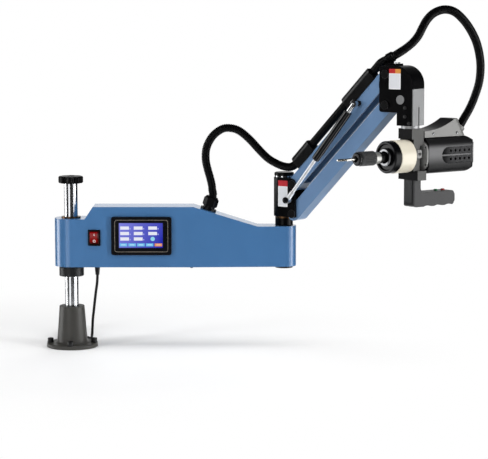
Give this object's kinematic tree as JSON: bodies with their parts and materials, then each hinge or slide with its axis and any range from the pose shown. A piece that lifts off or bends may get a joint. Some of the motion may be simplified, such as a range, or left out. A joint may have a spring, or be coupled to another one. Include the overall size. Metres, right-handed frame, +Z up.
{
  "type": "arm tapping machine",
  "caption": "Bench tapping machine: a column with a swinging housed arm, a level-keeping second arm with gas spring, and a motorised tapping head with handle.",
  "frame": {"origin": "centre of the base flange's underside, on the column's axis", "axes": "+Z up along the column, +X along the first arm, -Y towards the operator"},
  "size_m": [0.9439, 0.5399, 0.7468],
  "materials": {
    "base_iron": "dark grey satin paint",
    "black_metal": "black anodised",
    "black_plastic": "moulded black",
    "blue_casting": "blue satin paint",
    "bright_ring": "bright turned",
    "bronze": "sintered bronze",
    "button_green": "glossy",
    "button_red": "glossy",
    "chuck_black": "blackened steel",
    "column_chrome": "polished",
    "conduit": "ribbed black nylon",
    "cord_jacket": "black jacket",
    "cover_grey": "dark grey cast",
    "cream_housing": "cream satin paint",
    "drive_case": "sheet metal",
    "gas_black": "black gloss paint",
    "handle_grey": "moulded dark grey",
    "leg_grey": "brushed",
    "motor_steel": "motor case",
    "red_rocker": "glossy red",
    "rod_chrome": "polished",
    "screen_glass": "lit display",
    "screen_plastic": "matt black",
    "steel": "machined"
  },
  "bodies": {
    "base": {"base_stand": "base_iron", "column": "column_chrome", "power_cord": "cord_jacket", "cord_hank": "cord_jacket"},
    "column_knob": {"top_knob": "black_plastic"},
    "collar": {"height_collar": "black_metal", "slide_washer": "steel"},
    "first_arm": {"arm_housing": "blue_casting", "bottom_plate": "blue_casting", "column_bushes": "bronze", "arm_bearings": "steel", "switch_frame": "black_plastic", "screen_frame": "screen_plastic", "screen_glass": "screen_glass", "servo_drive": "drive_case", "power_supply": "drive_case", "cord_gland": "black_plastic", "hose_gland": "black_plastic", "hose_front": "conduit"},
    "rocker": {"switch_rocker": "red_rocker"},
    "swivel_post": {"swivel_shaft": "steel", "post_collar": "black_metal", "wear_ring": "bronze", "post_fork": "black_metal", "post_ring": "bright_ring", "post_cap": "black_plastic", "fork_pins": "steel", "lower_ball_stud": "chuck_black"},
    "upper_link": {"upper_link": "blue_casting", "upper_ball_stud": "chuck_black", "lower_saddle": "black_plastic", "upper_saddle": "black_plastic", "hose_link": "conduit"},
    "lower_link": {"lower_link": "blue_casting"},
    "gas_cylinder": {"gas_cylinder": "gas_black"},
    "gas_rod": {"gas_rod": "rod_chrome"},
    "end_bracket": {"end_bracket": "black_metal", "leg_plate": "leg_grey", "bracket_pins": "steel", "hose_clamp": "black_plastic", "head_bushes": "bronze", "hose_drop": "conduit"},
    "head": {"head_block": "black_metal", "neck_shaft": "steel", "swivel_ring": "bright_ring", "gear_housing": "cream_housing", "torque_drum": "black_metal", "drum_ring": "bright_ring", "motor_flange": "leg_grey", "motor_cover": "cover_grey", "motor": "motor_steel", "cable_box": "cover_grey", "handle": "handle_grey", "handle_bolts": "steel"},
    "spindle": {"spindle": "bright_ring", "chuck": "chuck_black", "tap": "bright_ring"},
    "chuck_sleeve": {"chuck_sleeve": "chuck_black"},
    "forward_button": {"forward_button": "button_green"},
    "reverse_button": {"reverse_button": "button_red"}
  },
  "joints": [
    {"name": "height_slide", "type": "slide", "parent": "base", "child": "collar", "axis": [0, 0, 1], "range_m": [-0.06, 0.04], "deforming": ["power_cord"]},
    {"name": "knob_turn", "type": "hinge", "parent": "base", "child": "column_knob", "pos_m": [0, 0, 0.369], "axis": [0, 0, 1], "continuous": true},
    {"name": "first_arm_swing", "type": "hinge", "parent": "collar", "child": "first_arm", "pos_m": [0, 0, 0.18], "axis": [0, 0, 1], "range_deg": [-60, 90], "deforming": ["power_cord"]},
    {"name": "power_rocker", "type": "hinge", "parent": "first_arm", "child": "rocker", "pos_m": [0.053, -0.033, 0.245], "axis": [1, 0, 0], "range_deg": [-18, 0]},
    {"name": "second_arm_swing", "type": "hinge", "parent": "first_arm", "child": "swivel_post", "pos_m": [0.466, 0, 0.29], "axis": [0, 0, 1], "range_deg": [-90, 100], "deforming": ["hose_front"]},
    {"name": "arm_lift", "type": "hinge", "parent": "swivel_post", "child": "upper_link", "pos_m": [0.49593, -0.02175, 0.3615], "axis": [-0.5878, -0.809, 0], "range_deg": [-46, 12], "deforming": ["hose_front"]},
    {"name": "lower_link_pivot", "type": "hinge", "parent": "swivel_post", "child": "lower_link", "pos_m": [0.49593, -0.02175, 0.2975], "axis": [-0.5878, -0.809, 0], "range_deg": [-46, 12]},
    {"name": "bracket_level", "type": "hinge", "parent": "upper_link", "child": "end_bracket", "pos_m": [0.68589, -0.15976, 0.60464], "axis": [-0.5878, -0.809, 0], "range_deg": [-12, 46], "deforming": ["hose_link"]},
    {"name": "gas_rod_pivot", "type": "hinge", "parent": "swivel_post", "child": "gas_rod", "pos_m": [0.47154, -0.04852, 0.3285], "axis": [-0.5878, -0.809, 0], "range_deg": [-46, 12]},
    {"name": "gas_cylinder_pivot", "type": "hinge", "parent": "upper_link", "child": "gas_cylinder", "pos_m": [0.60897, -0.14837, 0.54191], "axis": [-0.5878, -0.809, 0], "range_deg": [-4, 4]},
    {"name": "head_swivel", "type": "hinge", "parent": "end_bracket", "child": "head", "pos_m": [0.72391, -0.18738, 0.50564], "axis": [0, 0, 1], "range_deg": [-28, 45], "deforming": ["hose_drop"]},
    {"name": "spindle_turn", "type": "hinge", "parent": "head", "child": "spindle", "pos_m": [0.72391, -0.18738, 0.43564], "axis": [0.7986, 0.6018, 0], "continuous": true},
    {"name": "sleeve_slide", "type": "slide", "parent": "spindle", "child": "chuck_sleeve", "axis": [-0.7986, -0.6018, 0], "range_m": [0, 0.0038], "stiffness_N_per_m": 800, "springref_m": -0.002},
    {"name": "forward_press", "type": "slide", "parent": "head", "child": "forward_button", "axis": [0, 0, -1], "range_m": [0, 0.002], "stiffness_N_per_m": 400, "springref_m": -0.001},
    {"name": "reverse_press", "type": "slide", "parent": "head", "child": "reverse_button", "axis": [0, 0, -1], "range_m": [0, 0.002], "stiffness_N_per_m": 400, "springref_m": -0.001}
  ],
  "couplings": [
    {"joint": "lower_link_pivot", "follows": "arm_lift", "ratio": 1},
    {"joint": "bracket_level", "follows": "arm_lift", "ratio": -1},
    {"joint": "gas_rod_pivot", "follows": "arm_lift", "ratio": 0.92},
    {"joint": "gas_cylinder_pivot", "follows": "arm_lift", "ratio": -0.08}
  ]
}
